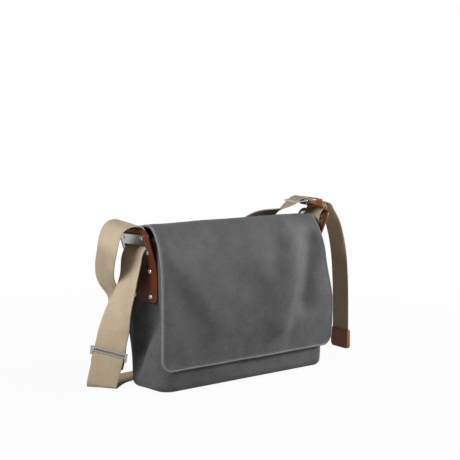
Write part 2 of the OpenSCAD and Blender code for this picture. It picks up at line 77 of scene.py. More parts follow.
def cloth(name, rows, skip=None, closed=False):
    wide = len(rows[0])
    across, along, down = [], [], [0.0] * wide
    for j, row in enumerate(rows):
        spots = [0.0]
        for p, q in zip(row, row[1:] + row[:1]):
            spots.append(spots[-1] + (Vector(q) - Vector(p)).length)
        across.append([s - spots[wide - 1] / 2 for s in spots])
        if j:
            down = [d + (Vector(p) - Vector(q)).length for d, p, q in zip(down, row, rows[j - 1])]
        along.append(down + down[:1])
    faces, marks = [], []
    for j in range(len(rows) - 1):
        for i in range(wide if closed else wide - 1):
            if skip and skip(i, j):
                continue
            a, b = j * wide + i, j * wide + (i + 1) % wide
            faces.append((a, b, b + wide, a + wide))
            corners = ((j, i), (j, i + 1), (j + 1, i + 1), (j + 1, i))
            marks += [(across[n][m] * mm, along[n][m] * mm) for n, m in corners]
    obj = meshPiece(name, [p for row in rows for p in row], faces)
    layer = obj.data.uv_layers.new(name="weave")
    for spot, mark in zip(layer.data, marks):
        spot.uv = mark
    return obj


def curve(points, steps):
    out = []
    last = len(points) - 1
    for k in range(last):
        a, b = points[max(k - 1, 0)], points[k]
        c, d = points[k + 1], points[min(k + 2, last)]
        for s in range(steps):
            t = s / steps
            out.append(tuple(
                0.5 * (2 * q + (r - p) * t + (2 * p - 5 * q + 4 * r - e) * t * t
                       + (3 * q - p - 3 * r + e) * t ** 3)
                for p, q, r, e in zip(a, b, c, d)))
    out.append(tuple(points[last]))
    return out


def evenly(points, count):
    runs = [0.0]
    for p, q in zip(points, points[1:]):
        runs.append(runs[-1] + (Vector(q) - Vector(p)).length)
    out, k = [], 0
    for n in range(count):
        want = runs[-1] * n / (count - 1)
        while k < len(points) - 2 and runs[k + 1] < want:
            k += 1
        t = (want - runs[k]) / max(runs[k + 1] - runs[k], 1e-9)
        out.append(tuple(a + (b - a) * t for a, b in zip(points[k], points[k + 1])))
    return out


def ease(t):
    t = min(max(t, 0.0), 1.0)
    return t * t * (3 - 2 * t)


def ripple(x, y, z, scale):
    return noise.noise(Vector((x, y, z)) / scale)


dressing = {"weld": 1e-6, "flat": math.radians(0.5), "bevelFrom": math.radians(35), "weight": 50}


def dressed(node, bevel, segments=2):  # a copy of a CAD solid with soft edges
    mesh = nodes[node].data.copy()
    mesh.transform(nodes[node].matrix_world)
    obj = bpy.data.objects.new(node + "Look", mesh)
    bpy.context.scene.collection.objects.link(obj)
    pick(obj)
    bpy.ops.object.mode_set(mode="EDIT")
    bpy.ops.mesh.select_all(action="SELECT")
    bpy.ops.mesh.remove_doubles(threshold=dressing["weld"])
    bpy.ops.mesh.dissolve_limited(angle_limit=dressing["flat"])
    bpy.ops.object.mode_set(mode="OBJECT")
    applied(obj, "BEVEL", width=bevel, segments=segments, limit_method="ANGLE",
            angle_limit=dressing["bevelFrom"], use_clamp_overlap=True)
    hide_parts(node)
    smooth(obj)
    return applied(obj, "WEIGHTED_NORMAL", mode="FACE_AREA", weight=dressing["weight"], keep_sharp=True)


def finish(obj, slotName, *looks):
    obj.data.materials.clear()
    for look in looks:
        obj.data.materials.append(look)
    return obj


class Wire:
    def __init__(self, look, socket):
        self.look = look
        self.socket = socket

    def op(self, operation, other=None, flipped=False):
        values = {0: other, 1: self} if flipped else {0: self, 1: other}
        return self.look.node("Math", {"operation": operation}, {k: v for k, v in values.items() if v is not None})

    def __add__(self, other):
        return self.op("ADD", other)

    def __rsub__(self, other):
        return self.op("SUBTRACT", other, True)

    def __mul__(self, other):
        return self.op("MULTIPLY", other)

    __radd__ = __add__
    __rmul__ = __mul__

    def sin(self):
        return self.op("SINE")

    def between(self, low, high):
        return self.look.node("MapRange", {"clamp": True}, {"Value": self, "From Min": low, "From Max": high})


class Look:
    def __init__(self, name, **fixed):
        self.material = bpy.data.materials.new(name)
        self.material.use_nodes = True
        self.tree = self.material.node_tree
        self.shader = self.tree.nodes["Principled BSDF"]
        for key, value in fixed.items():
            self.shader.inputs[key.replace("_", " ")].default_value = value

    def node(self, kind, settings, values, out=0):
        made = self.tree.nodes.new("ShaderNode" + kind)
        for key, value in settings.items():
            setattr(made, key, value)
        for key, value in values.items():
            if isinstance(value, Wire):
                self.tree.links.new(value.socket, made.inputs[key])
            else:
                made.inputs[key].default_value = value
        return Wire(self, made.outputs[out])

    def mix(self, share, low, high):
        return self.node("Mix", {"data_type": "RGBA"}, {0: share, 6: low, 7: high}, 2)  # colour sockets

    def place(self):
        return self.node("TexCoord", {}, {}, "Object")

    def weaveUv(self):
        uv = self.node("UVMap", {"uv_map": "weave"}, {})
        made = self.node("SeparateXYZ", {}, {0: uv})
        return made, Wire(self, made.socket.node.outputs[1])

    def clouds(self, scale, detail=4.0, rough=0.55, stretch=None):
        spot = self.place()
        if stretch:
            spot = self.node("Mapping", {}, {"Vector": spot, "Scale": stretch})
        return self.node("TexNoise", {}, {"Vector": spot, "Scale": scale, "Detail": detail, "Roughness": rough})

    def feed(self, **wires):
        for key, wire in wires.items():
            self.tree.links.new(wire.socket, self.shader.inputs[key.replace("_", " ")])

    def bump(self, height, strength, distance):
        self.feed(Normal=self.node("Bump", {}, {"Height": height, "Strength": strength, "Distance": distance}))
        return self.material


def canvasLook(name, dark, light, weave=0.0011):
    look = Look(name, Roughness=0.66, Specular_IOR_Level=0.14, Sheen_Weight=0.03, Sheen_Roughness=0.5)
    u, v = look.weaveUv()
    turn = 2 * math.pi / weave
    threads = (u * turn).sin() * (v * turn).sin() * 0.5 + 0.5
    broad = look.clouds(11.0, 3.0, 0.5).between(0.33, 0.68)
    brushed = look.clouds(430.0, 3.0, 0.75).between(0.3, 0.7)
    worn = look.clouds(46.0, 5.0, 0.66).between(0.3, 0.7)
    share = (broad * 0.16 + worn * 0.24 + brushed * 0.50 + threads * 0.10).between(0.1, 0.9)
    look.feed(Base_Color=look.mix(share, dark, light), Roughness=0.58 + brushed * 0.16)
    return look.bump(threads * 0.6 + brushed * 0.6 + worn * 0.4, 0.35, 0.0004)


def webbingLook(name, dark, light):
    look = Look(name, Roughness=0.82, Specular_IOR_Level=0.08, Sheen_Weight=0.03, Sheen_Roughness=0.5)
    u, v = look.weaveUv()
    ribPitch, rowPitch = 0.0013, 0.0021
    ribs = (v * (2 * math.pi / ribPitch)).sin() * 0.5 + 0.5
    rows = ((u + v * 0.5) * (2 * math.pi / rowPitch)).sin() * 0.5 + 0.5
    tone = look.clouds(26.0, 4.0, 0.6).between(0.3, 0.7)
    fibre = look.clouds(620.0, 2.0, 0.7).between(0.25, 0.75)
    flecks = look.clouds(210.0, 1.0, 0.5).between(0.69, 0.76)
    # ribs and rows darken the colour in the weave's grooves: painted shade in the grooves; tone, fibre and flecks
    # are the webbing's own colour
    share = (ribs * 0.16 + rows * 0.12 + tone * 0.34 + fibre * 0.40).between(0.1, 0.95) * (1 - flecks * 0.8)
    look.feed(Base_Color=look.mix(share, dark, light), Roughness=0.74 + fibre * 0.18)
    return look.bump(ribs * 0.7 + rows * 0.5 + fibre * 0.3, 0.5, 0.0004)


def leatherLook(name, dark, light, shine=0.42):
    look = Look(name, Roughness=shine, Specular_IOR_Level=0.16)
    cells = look.node("TexVoronoi", {"feature": "DISTANCE_TO_EDGE"}, {"Vector": look.place(), "Scale": 900.0})
    pores = cells.between(0.0, 0.25)
    tone = look.clouds(40.0, 5.0, 0.6).between(0.28, 0.72)
    scuff = look.clouds(160.0, 4.0, 0.7, (1.0, 1.0, 0.3)).between(0.55, 0.8)
    look.feed(Base_Color=look.mix(tone * 0.7 + scuff * 0.3 + pores * 0.1, dark, light),
              Roughness=shine - 0.08 + scuff * 0.25 + tone * 0.08)
    return look.bump(pores * 0.5 + tone * 0.3, 0.3, 0.0003)


def metalLook(name, tint, rough):
    look = Look(name, Metallic=1.0, Roughness=rough)
    smear = look.clouds(120.0, 4.0, 0.6).between(0.3, 0.7)
    lines = look.clouds(300.0, 2.0, 0.6, (1.0, 8.0, 1.0)).between(0.3, 0.7)
    look.feed(Base_Color=look.mix(smear, [c * 0.9 for c in tint[:3]] + [1], tint),
              Roughness=rough - 0.04 + smear * 0.08 + lines * 0.06)
    return look.material


def threadLook(name, tint):
    look = Look(name, Roughness=0.6)
    twist = look.clouds(900.0, 2.0, 0.6).between(0.3, 0.7)
    look.feed(Base_Color=look.mix(twist, [c * 0.7 for c in tint[:3]] + [1], tint))
    return look.bump(twist, 0.3, 0.0002)


greyCanvas = canvasLook("greyCanvas", (0.045, 0.045, 0.047, 1), (0.134, 0.134, 0.139, 1))
edgeTape = canvasLook("edgeTape", (0.14, 0.14, 0.143, 1), (0.25, 0.25, 0.254, 1), 0.0007)
lining = canvasLook("lining", (0.035, 0.034, 0.033, 1), (0.085, 0.083, 0.080, 1))
webbing = webbingLook("webbing", (0.37, 0.29, 0.19, 1), (0.63, 0.52, 0.375, 1))
leather = leatherLook("leather", (0.078, 0.019, 0.007, 1), (0.180, 0.045, 0.014, 1))
leatherEdge = leatherLook("leatherEdge", (0.34, 0.13, 0.05, 1), (0.52, 0.22, 0.09, 1), 0.6)
trimLeather = leatherLook("trimLeather", (0.20, 0.046, 0.014, 1), (0.35, 0.086, 0.026, 1), 0.5)
tipLeather = leatherLook("tipLeather", (0.12, 0.028, 0.010, 1), (0.25, 0.062, 0.020, 1), 0.5)
steel = metalLook("steel", (0.50, 0.505, 0.515, 1), 0.26)
# a darker copy of the steel for the sliders: painted shade in the reflection, standing in for the darker
# surroundings the sliders mirror
shadedSliderSteel = metalLook("shadedSliderSteel", (0.40, 0.405, 0.415, 1), 0.20)
snapMetal = metalLook("snapMetal", (0.62, 0.60, 0.56, 1), 0.30)
greyThread = threadLook("greyThread", (0.22, 0.22, 0.225, 1))
print("materials made")

tilt = math.radians(1.7)  # the gussets lean out
baseHalf = 177.5


def sideHalf(z):
    return baseHalf + z * math.tan(tilt)


def lookup(points, steps=10):
    dense = curve(points, steps)

    def value(z):
        for p, q in zip(dense, dense[1:]):
            if z <= q[0]:
                return p[1] + (q[1] - p[1]) * (z - p[0]) / max(q[0] - p[0], 1e-9)
        return dense[-1][1]
    return value


body = {
    "front": [(0, -51), (50, -51.6), (120, -51.8), (172, -51), (196, -47.8), (215, -41.3),
              (234, -32.4), (250, -25)],  # y at height z
    "back": [(0, 51), (60, 51.3), (130, 51.3), (172, 49.4), (215, 42.4), (257, 36)],
    "steps": {"front": 64, "right": 30, "back": 64, "left": 30, "corner": 7},
    "corner": {"upper": 11, "left": 24, "right": 9}, "bulge": {"left": 10, "right": 5},
    "foot": 12, "footSteps": 8, "insets": (50.99, 40, 27), "wallSteps": 48,
    "rim": {"front": 250, "back": 256, "side": 226}, "rimDrop": {"front": 2, "back": 10},
    "fold": {"middle": (0, 90), "turn": 24, "half": 82, "fade": 46, "deep": 14, "wide": 15,
             "sway": (5, 24), "swells": [(3.2, 27, 15), (2.2, -27, 14)]},
    "slump": 16, "puff": 1.6, "sideRipple": (0.8, 34), "faceRipple": (1.3, 70), "thick": 0.0028, "weld": 2.5e-5,
}
frontAt, backAt = lookup(body["front"]), lookup(body["back"])


def foldDepth(y, z):
    fold = body["fold"]
    a = math.radians(fold["turn"])
    dy, dz = y - fold["middle"][0], z - fold["middle"][1]
    along, off = dz * math.cos(a) - dy * math.sin(a), dy * math.cos(a) + dz * math.sin(a)
    off += fold["sway"][0] * math.sin(along / fold["sway"][1])
    share = ease((fold["half"] - abs(along)) / fold["fade"])
    valley = fold["deep"] * math.exp(-(off / fold["wide"]) ** 2)
    swell = sum(high * math.exp(-((off - at) / wide) ** 2) for high, at, wide in fold["swells"])
    return share * (valley - swell)


def perimeter():
    starts = {"front": (-1, -1), "right": (1, -1), "back": (1, 1), "left": (-1, 1)}
    outs = {"front": (0, -1), "right": (1, 0), "back": (0, 1), "left": (-1, 0)}
    sides, spots = list(starts), []
    for n, side in enumerate(sides):
        (x, y), (endX, endY) = starts[side], starts[sides[(n + 1) % len(sides)]]
        steps, turns = body["steps"][side], body["steps"]["corner"]
        for k in range(steps):
            spots.append((x + (endX - x) * k / steps, y + (endY - y) * k / steps, *outs[side], side))
        for k in range(turns):
            a = math.radians(90 * (n - 1) + 90 * k / turns)
            spots.append((endX, endY, math.cos(a), math.sin(a), "front" if endY < 0 else "back"))
    return spots


def bodyPoint(spot, z, inset=0.0):
    ex, ey, fx, fy, side = spot
    half = sideHalf(z) - inset
    front, back = frontAt(z) + inset, backAt(z) - inset
    mid, deep = (front + back) / 2, (back - front) / 2
    upper, lower = body["corner"]["upper"], body["corner"]["right" if ex > 0 else "left"]
    r = max(upper + (lower - upper) * ease((120 - z) / 80) - inset, 0.0)
    x, y = ex * (half - r) + fx * r, mid + ey * max(deep - r, 0.0) + fy * min(r, deep)
    if side in ("left", "right") and not inset:
        sign = 1 if side == "right" else -1
        edge = ease((1 - abs(ey)) / 0.35)
        high, size = body["sideRipple"]
        x -= sign * foldDepth(y, z) * edge * ease((z - 4) / 22)
        x += sign * high * edge * ripple(x * 0.3, y, z, size) * ease((142 - z) / 20)  # flat under the leather
    if fx:
        swell = math.exp(-((y + 30) / 30) ** 2 - ((z - 30) / 36) ** 2)  # the full lower corner
        x += fx * (body["bulge"]["right" if fx > 0 else "left"] * swell) * ease(1 - inset / 30)
    if y < 0 and not inset:  # the right shoulder falls in
        y += body["slump"] * ease(-y / 45) * ease((x - 112) / 40) * ease((z - 120) / 60) * ease((240 - z) / 35)
    if side in ("front", "back") and not inset and abs(ex) < 1:
        puff = (1 - ex * ex) * math.sin(math.pi * min(max(z / 235, 0), 1))
        high, size = body["faceRipple"]
        wave = high * (1 - abs(ex) ** 4) * ripple(x, 40 * fy, z, size) * ease(z / 18)
        y += fy * (body["puff"] * puff + wave)
    return (x, y, z)


spots = perimeter()
foot = body["foot"]
rows = [[bodyPoint(s, 0, d) for s in spots] for d in (*body["insets"], foot)]
for k in range(1, body["footSteps"]):
    a = math.radians(90 * k / body["footSteps"])
    rows.append([bodyPoint(s, foot * (1 - math.cos(a)), foot * (1 - math.sin(a))) for s in spots])


def rimHeight(spot):
    rim, drop = body["rim"], body["rimDrop"]
    ex, ey, fx, fy, side = spot
    if side in ("left", "right"):
        near = "front" if ey < 0 else "back"
        return rim["side"] + (rim[near] - drop[near] - rim["side"]) * max(0.0, (abs(ey) - 0.4) / 0.6)
    return rim[side] - ease(abs(fx)) * drop[side]


for k in range(body["wallSteps"] + 1):
    f = k / body["wallSteps"]
    rows.append([bodyPoint(s, foot + f * (rimHeight(s) - foot)) for s in spots])
bodyShell = cloth("bodyShell", rows, closed=True)
pick(bodyShell)
bpy.ops.object.mode_set(mode="EDIT")
bpy.ops.mesh.select_all(action="SELECT")
bpy.ops.mesh.remove_doubles(threshold=body["weld"])
bpy.ops.object.mode_set(mode="OBJECT")
applied(bodyShell, "SOLIDIFY", thickness=body["thick"], offset=-1.0, use_even_offset=True,
        material_offset=1, material_offset_rim=2)
finish(smooth(bodyShell, 60), "canvas", greyCanvas, lining, edgeTape)
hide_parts("front_panel", "back_panel", "base_panel", "left_gusset", "right_gusset")
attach(bodyShell, "bag")
print("body shell lofted", len(bodyShell.data.polygons))

flap = {
    "top": [(39.9, 242), (38.6, 251), (36, 258), (30.5, 260.9), (20, 262.6), (0, 265.9), (-8, 267.3)],
    "front": [(-16, 268.5), (-24.5, 267.5), (-32.5, 262), (-40.5, 251), (-47.3, 238), (-53, 223.5), (-57.2, 208),
              (-59.2, 190), (-59.8, 150), (-59.6, 105), (-59, 74), (-58.4, 37.6)],
    "seamHalf": 182, "ridgeHalf": 191, "half": 195, "corner": 21, "columns": 84, "thick": 2.6,
    "folds": [((104, 214), (64, 92), 38, 22, 9.8), ((160, 222), (124, 122), 22, 22, -8.6),
              ((64, 226), (50, 190), 16, 16, -1.8), ((-182, 228), (-78, 104), 18, 26, 3.0),
              ((-150, 150), (-112, 70), 26, 24, -2.6), ((-80, 214), (0, 150), 26, 26, -2.0),
              ((12, 222), (36, 150), 22, 22, 1.8)],  # from, to, width on either side, height
    "ripples": [(1.8, 11, 105), (0.9, 90, 46), (0.2, 5, 16)],  # height, seed, size
    "dip": 4.0, "fallIn": (-8.0, 8.0, 0), "bulge": 3.6, "ridge": {"y": -8, "lowest": 255},
    "rows": 89, "hem": [0.0, 0.4, 1.2, 2.4, 4.0, 6.2, 9.0, 12.5, 16.5], "hemFrom": 19.5,
}


def foldLift(x, z, start, end, left, right, high):
    a, b, p = Vector(start), Vector(end), Vector((x, z))
    t = min(max((p - a).dot(b - a) / (b - a).length_squared, 0.0), 1.0)
    off = p - a.lerp(b, t)
    side = 0.5 + 0.5 * math.tanh((b - a).normalized().cross(off) / 12)
    return high * math.exp(-(off.length / (left + (right - left) * side)) ** 2)


def flapHalf(y, z, toHem):
    if y > -16:
        half = flap["seamHalf"] + (flap["ridgeHalf"] - flap["seamHalf"]) * ease((38 - y) / 54)
    else:
        half = flap["ridgeHalf"] + (flap["half"] - flap["ridgeHalf"]) * ease((268 - z) / 63)
    r = flap["corner"]
    if toHem < r:
        half -= r - math.sqrt(max(r * r - (r - toHem) ** 2, 0))
    return half


line = curve(flap["top"] + flap["front"], 8)
line = evenly([(0, y, z) for y, z in line], flap["rows"] + 1)
total = sum((Vector(q) - Vector(p)).length for p, q in zip(line, line[1:]))
step = total / flap["rows"]
places = [k * step for k in range(flap["rows"]) if total - k * step > flap["hemFrom"]]
places += [total - d for d in reversed(flap["hem"])]
flapRows = []
for place in places:
    k = min(int(place / step), flap["rows"] - 1)
    t = place / step - k
    y, z = (line[k][a] + (line[k + 1][a] - line[k][a]) * t for a in (1, 2))
    ty, tz = line[k + 1][1] - line[k][1], line[k + 1][2] - line[k][2]
    run = math.hypot(ty, tz)
    out = Vector((0, tz / run, -ty / run))
    half = flapHalf(y, z, total - place)
    row = []
    for c in range(flap["columns"] + 1):
        x = half * (1 - 2 * c / flap["columns"])
        lift = ease((place - 24) / 40)
        swell = sum(high * ripple(x, seed, place, size) for high, seed, size in flap["ripples"])
        swell += sum(foldLift(x, z, *fold) for fold in flap["folds"]) if y < -20 else 0
        edge = ease((1 - abs(x) / half) / 0.10) * 0.75 + 0.25  # stiffer at the binding
        p = Vector((x, y, z)) + out * swell * lift * edge
        p.z -= flap["dip"] * ease((x - 120) / 70) * math.exp(-((y + 12) / 22) ** 2) * ease((z - 225) / 35)
        slump = ease((x - 40) / 150) * ease((z - 110) / 90) * ease((12 - y) / 40)
        p += Vector(flap["fallIn"]) * slump  # the right shoulder falls in
        belly = 1 - min(abs(x - 30) / 200, 1) ** 2
        p.y -= flap["bulge"] * belly * ease((235 - z) / 70) * ease(-y / 50) * ease((z - 37) / 70)
        row.append(tuple(p))
    flapRows.append(row)
middle = flap["columns"] // 2


def fromRidge(k):
    x, y, z = flapRows[k][middle]
    return abs(y - flap["ridge"]["y"]) + (0 if z > flap["ridge"]["lowest"] else 99)


split = min(range(len(places)), key=fromRidge)


def outward(rows, j, i):
    a, b = rows[max(j - 1, 0)][i], rows[min(j + 1, len(rows) - 1)][i]
    c, d = rows[j][max(i - 1, 0)], rows[j][min(i + 1, len(rows[j]) - 1)]
    n = (Vector(d) - Vector(c)).cross(Vector(b) - Vector(a))
    return n.normalized()


def edgePath(rows, cells):
    path = [Vector(rows[j][i]) for j, i in cells]
    out = []
    for k, (j, i) in enumerate(cells):
        t = (path[min(k + 1, len(path) - 1)] - path[max(k - 1, 0)]).normalized()
        n = outward(rows, j, i)
        n = (n - t * n.dot(t)).normalized()
        out.append((path[k], t, n, n.cross(t).normalized()))
    return out


tape = {"across": 0.0009, "along": 0.004,
        "ring": [(2.4, 1.3), (2.1, 1.7), (0.5, 1.9), (-0.6, 1.4), (-1.0, 0),
                 (-0.6, -1.4), (0.5, -1.9), (2.1, -1.7), (2.4, -1.3)]}  # in from the edge, out of the cloth


def edging(name, path):
    ring, points, faces = tape["ring"], [], []
    for p, t, n, inn in path:
        points += [p + inn * a + n * b for a, b in ring]
    size = len(ring)
    for k in range(len(path) - 1):
        for r in range(size):
            a, b = k * size + r, k * size + (r + 1) % size
            faces.append((a, b, b + size, a + size))
    faces.append(tuple(reversed(range(size))))
    faces.append(tuple(range((len(path) - 1) * size, len(path) * size)))
    obj = meshPiece(name, points, faces)
    layer = obj.data.uv_layers.new(name="weave")
    for loop in obj.data.loops:
        k, r = divmod(loop.vertex_index, size)
        layer.data[loop.index].uv = (r * tape["across"], k * tape["along"])
    return obj


stitch = {"sides": 6, "length": 3.1, "thick": 0.9, "gap": 4.6, "inset": 4.0, "height": 1.4}


def oneStitch():
    bpy.ops.object.select_all(action="DESELECT")
    bpy.ops.mesh.primitive_uv_sphere_add(segments=stitch["sides"], ring_count=stitch["sides"], radius=0.5 * mm)
    first = bpy.context.active_object
    bpy.ops.object.mode_set(mode="EDIT")
    bpy.ops.mesh.select_all(action="SELECT")
    bpy.ops.transform.resize(value=(stitch["thick"], stitch["thick"], stitch["length"]), center_override=(0, 0, 0))
    bpy.ops.object.mode_set(mode="OBJECT")
    return first


def stitches(name, path):
    first, copies = oneStitch(), []
    run, want = 0.0, stitch["gap"]
    for (p, t, n, inn), after in zip(path, path[1:]):
        q, n2, inn2 = after[0], after[2], after[3]
        far = (q - p).length
        while run + far >= want:
            f = (want - run) / max(far, 1e-9)
            mid = p.lerp(q, f) + inn.lerp(inn2, f) * stitch["inset"] + n.lerp(n2, f) * stitch["height"]
            turn = Matrix((inn, n, t)).transposed().to_4x4()
            turn.translation = mid * mm
            copy = first.copy()
            copy.data = first.data.copy()
            copy.data.transform(turn)
            bpy.context.scene.collection.objects.link(copy)
            copies.append(copy)
            want += stitch["gap"]
        run += far
    bpy.data.objects.remove(first)
    pick(*copies)
    bpy.ops.object.join()
    row = bpy.context.active_object
    row.name = name
    return row


wide = flap["columns"]
pieces = {"top": flapRows[:split + 1], "front": flapRows[split:]}
for part, rows in pieces.items():
    panel = cloth("flap" + part.capitalize(), rows)
    applied(panel, "SOLIDIFY", thickness=flap["thick"] * mm, offset=0.0, use_even_offset=True, material_offset=1)
    finish(smooth(panel, 50), "canvas", greyCanvas, lining)
    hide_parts("flap_%s_panel" % part)
    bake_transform(panel)
    last = len(rows) - 1
    if part == "top":
        paths = [edgePath(rows, [(j, wide) for j in range(last + 1)]),
                 edgePath(rows, [(j, 0) for j in range(last, -1, -1)])]
    else:
        cells = [(j, wide) for j in range(last)] + [(last, i) for i in range(wide, -1, -1)]
        cells += [(j, 0) for j in range(last - 1, -1, -1)]
        paths = [edgePath(rows, cells)]
    edges = [edging("flap%sBinding%d" % (part.capitalize(), k), path) for k, path in enumerate(paths)]
    threads = [stitches("flap%sThread%d" % (part.capitalize(), k), path) for k, path in enumerate(paths)]
    for edge in edges:
        finish(smooth(edge, 50), "binding", edgeTape)
        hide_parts("flap_%s_binding" % part)
        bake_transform(edge)
    for thread in threads:
        finish(smooth(thread, 60), "binding", greyThread)
        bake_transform(thread)
    0.386 if part == "front" else 0.372
    print("flap", part, len(rows), "rows")

leftWay, rightWay = (0.68, -0.7, -0.24), (-0.42, -0.907, 0)  # across the webbing
keeperWay, across = (-0.28, -0.96, 0), (0, -1, 0)
tailTurn = math.radians(14)
tailWay = (-math.sin(tailTurn), -math.cos(tailTurn), 0)
strap = {"half": 25, "thick": 2.0, "columns": 10, "steps": 6, "evened": 16, "bevel": 0.0006, "ripple": (0.35, 40)}


def route(*stops):
    return [tuple(place) + tuple(way) for place, way in stops]


def ribbon(name, stops):
    line = curve(stops, strap["steps"])
    for again in range(strap["evened"]):
        inner = [tuple((a + 2 * b + c) / 4 for a, b, c in zip(*near)) for near in zip(line, line[1:], line[2:])]
        line = line[:1] + inner + line[-1:]
    high, size = strap["ripple"]
    rows = []
    length = 0.0
    for k, s in enumerate(line):
        p, w = Vector(s[:3]), Vector(s[3:]).normalized()
        q, o = Vector(line[min(k + 1, len(line) - 1)][:3]), Vector(line[max(k - 1, 0)][:3])
        face = (q - o).cross(w).normalized()
        if k:
            length += (p - Vector(line[k - 1][:3])).length
        row = []
        for c in range(strap["columns"] + 1):
            t = -1 + 2 * c / strap["columns"]
            wave = high * ripple(length, 30 * t, 7, size)
            row.append(tuple(p + w * t * strap["half"] + face * wave))
        rows.append(row)
    obj = cloth(name, rows)
    applied(obj, "SOLIDIFY", thickness=strap["thick"] * mm, offset=0.0, use_even_offset=True)
    applied(obj, "BEVEL", width=strap["bevel"], segments=2, limit_method="ANGLE", angle_limit=math.radians(50))
    finish(smooth(obj, 50), "webbing", webbing)
    return obj, length * mm


loopStops = route(
    ((-219.5, 40, 66), leftWay), ((-213, 42.8, 87.4), (0.37, -0.91, -0.16)),
    ((-205.5, 46.8, 107.8), (0.16, -0.98, -0.09)), ((-197.2, 50.1, 127.9), (0.02, -1, -0.03)),
    ((-194.2, 51, 145.8), (-0.04, -1, -0.03)), ((-204.1, 55.3, 159.7), (0.15, -0.98, -0.14)),
    ((-214.7, 54.7, 173.8), (0.19, -0.93, -0.31)), ((-226.4, 45.9, 191.2), (0.04, -0.91, -0.41)),
    ((-236.9, 31.4, 204.2), (0.02, -0.91, -0.4)), ((-247.9, 14.9, 219.8), (-0.06, -0.96, -0.29)),
    ((-256, 0, 237), (0, -1, -0.1)), ((-251.5, 0, 254.5), (0, -1, -0.1)), ((-243.5, 0, 267.5), (0, -1, -0.15)),
    ((-231, 0, 273.5), (0, -1, -0.17)), ((-217, 0, 274.2), (0, -1, -0.15)), ((-206, 0, 270.8), (0, -1, -0.09)),
    ((-200, 0, 263.5), (0, -1, -0.03)), ((-196.6, 0, 254.5), across), ((-193.8, 0, 246.5), across),
    ((-193.6, 0, 240.8), across), ((-195.3, 0, 237), across))
dropStops = route(
    ((-195.6, 0, 236.6), across), ((-197.5, 0, 234.3), across), ((-200.6, 0, 231.2), across),
    ((-204.5, 0, 226), across), ((-207.5, 0, 218), across), ((-209.5, 0, 206), across),
    ((-215.2, -2.2, 186.5), (-0.13, -0.99, -0.02)), ((-221.7, 0.5, 162.1), (0.02, -1, -0.08)),
    ((-226.8, 8.8, 137.4), (0.16, -0.97, -0.16)), ((-227.5, 18, 109), (0.46, -0.865, -0.2)),
    ((-227.75, 22.7, 95), leftWay), ((-228.3, 33.7, 62), leftWay), ((-229, 48, 19), leftWay),
    ((-229.5, 52, 8.2), (0.62, -0.77, -0.15)), ((-226.5, 56, 2.6), (0.6, -0.8, -0.03)),
    ((-216, 64, 1.5), (0.6, -0.8, 0)), ((-193, 81, 1.5), (0.58, -0.81, 0)), ((-162, 96, 1.5), (0.3, -0.95, 0)),
    ((-125, 100, 2), across), ((-90, 96, 9), (-0.23, -0.956, 0.18)), ((-52, 88, 32), (-0.54, -0.73, 0.42)),
    ((-15, 79, 75), (-0.77, -0.38, 0.52)), ((20, 72, 128), (-0.84, -0.18, 0.51)),
    ((52, 67, 181), (-0.85, -0.1, 0.53)))
riseStops = route(
    ((52, 67, 181), (-0.85, -0.1, 0.53)), ((80, 61, 223.5), (-0.78, -0.1, 0.62)),
    ((108, 51.5, 251), (-0.665, -0.31, 0.68)), ((131, 38, 263), (-0.68, -0.55, 0.48)),
    ((148, 22, 272), (-0.6, -0.78, 0.15)), ((162.6, 11.4, 284.2), rightWay), ((172, 7, 292.3), rightWay))
crossStops = route(
    ((172, 7, 292.3), rightWay), ((181.4, 2.6, 296.3), rightWay), ((188.5, -0.8, 291.8), (-0.38, -0.92, 0)),
    ((194.5, -3.6, 289.6), (-0.32, -0.94, 0)), ((200.5, -6.2, 288.3), keeperWay),
    ((207, -8.4, 287.3), (-0.22, -0.975, 0)), ((214.5, -9.8, 285.8), (-0.18, -0.98, 0)),
    ((221.3, -10, 283), (-0.15, -0.99, 0)))
anchorStops = route(
    ((183.6, 1.6, 287.4), rightWay), ((188.5, -0.8, 286.4), (-0.38, -0.92, 0)),
    ((194.5, -3.6, 284.6), (-0.32, -0.94, 0)), ((200.5, -6.2, 283.2), keeperWay),
    ((205.6, -7.8, 281.9), (-0.22, -0.975, 0)), ((208.9, -7.4, 278.8), (-0.13, -0.99, 0)),
    ((209.2, -5.5, 274.4), (-0.2, -0.98, 0)), ((207.2, -3, 269.6), (-0.21, -0.98, 0)),
    ((203.8, -1, 263), (-0.16, -0.99, 0)), ((200.2, 0, 256.7), (-0.06, -1, 0)), ((198.5, 0, 251.3), across),
    ((199.6, 0, 247), across), ((201.8, 0, 244), across), ((204.4, 0, 241.2), across),
    ((208.4, 0, 240.9), across), ((211.8, 0, 245.2), across), ((214.8, 0, 253.7), (-0.08, -1, 0)),
    ((218.6, 0, 262.9), (-0.2, -0.98, 0)), ((220.6, -3, 270.7), (-0.27, -0.96, 0)),
    ((219, -6, 276.8), (-0.27, -0.96, 0)), ((214.3, -8.2, 281.4), (-0.25, -0.97, 0)),
    ((207.2, -8.4, 284.6), (-0.22, -0.975, 0)), ((200.5, -6.2, 285.9), keeperWay),
    ((194.5, -3.6, 287.4), (-0.32, -0.94, 0)), ((188.5, -0.8, 289.7), (-0.38, -0.92, 0)),
    ((183.6, 1.6, 293.1), rightWay), ((179.6, 3.5, 292.9), rightWay), ((178.2, 4.1, 290.2), rightWay),
    ((179.6, 3.5, 287.6), rightWay))
tailStops = route(
    ((221.3, -10, 283), (-0.15, -0.99, 0)), ((228, -8.6, 279.2), (-0.14, -0.99, 0)), ((236, -6, 273), tailWay),
    ((247.5, -4, 262), tailWay), ((259, -2, 246), tailWay), ((269.5, 0, 224), tailWay),
    ((277, 0, 196), tailWay), ((281.5, 0, 160), tailWay), ((283.8, 0, 115), tailWay), ((284.5, 0, 75), tailWay),
    ((284.5, 0, 47), tailWay), ((284.5, 0, 15.1), tailWay))

